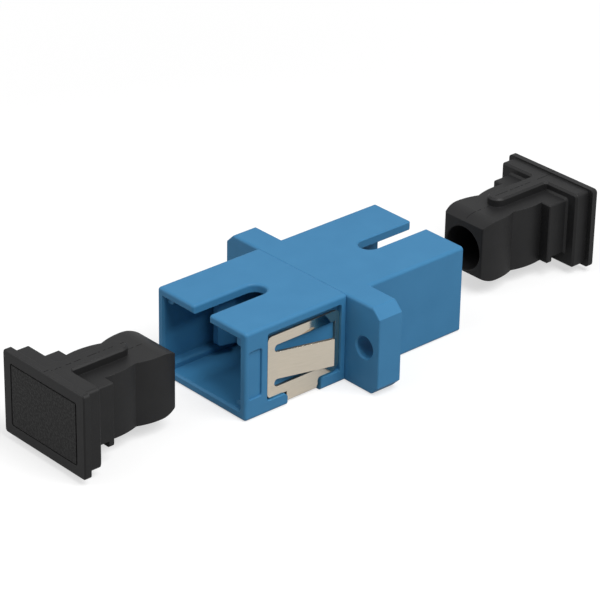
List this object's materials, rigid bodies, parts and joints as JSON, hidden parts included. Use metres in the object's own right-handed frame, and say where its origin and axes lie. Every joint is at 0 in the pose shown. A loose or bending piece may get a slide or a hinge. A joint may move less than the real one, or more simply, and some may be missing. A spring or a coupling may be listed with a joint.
{
  "type": "fibre optic adapter",
  "caption": "Simplex flanged fibre optic adapter: rectangular sockets with keyways, sprung panel clip, split alignment sleeve, and a pull-out dust cap for each socket.",
  "frame": {"origin": "on the optical axis at the middle of the split sleeve, which is the flange's middle plane", "axes": "+Y along the optical axis towards the rear socket, +X across the flange's screw holes, +Z towards the keyways"},
  "size_m": [0.022, 0.0665, 0.0094],
  "materials": {
    "housing": "satin, moulded",
    "sleeve": "polished ceramic",
    "clip": "bright rolled sheet",
    "cap": "matt, moulded"
  },
  "bodies": {
    "adapter": {"front_housing": "housing", "rear_housing": "housing", "front_latch": "housing", "rear_latch": "housing", "alignment_sleeve": "sleeve", "panel_clip": "clip"},
    "front_cap": {"front_dust_cap": "cap"},
    "rear_cap": {"rear_dust_cap": "cap"}
  },
  "joints": [
    {"name": "front_cap_slide", "type": "slide", "parent": "adapter", "child": "front_cap", "axis": [0, 1, 0], "range_m": [0, 0.01605]},
    {"name": "rear_cap_slide", "type": "slide", "parent": "adapter", "child": "rear_cap", "axis": [0, -1, 0], "range_m": [0, 0.01715]}
  ]
}
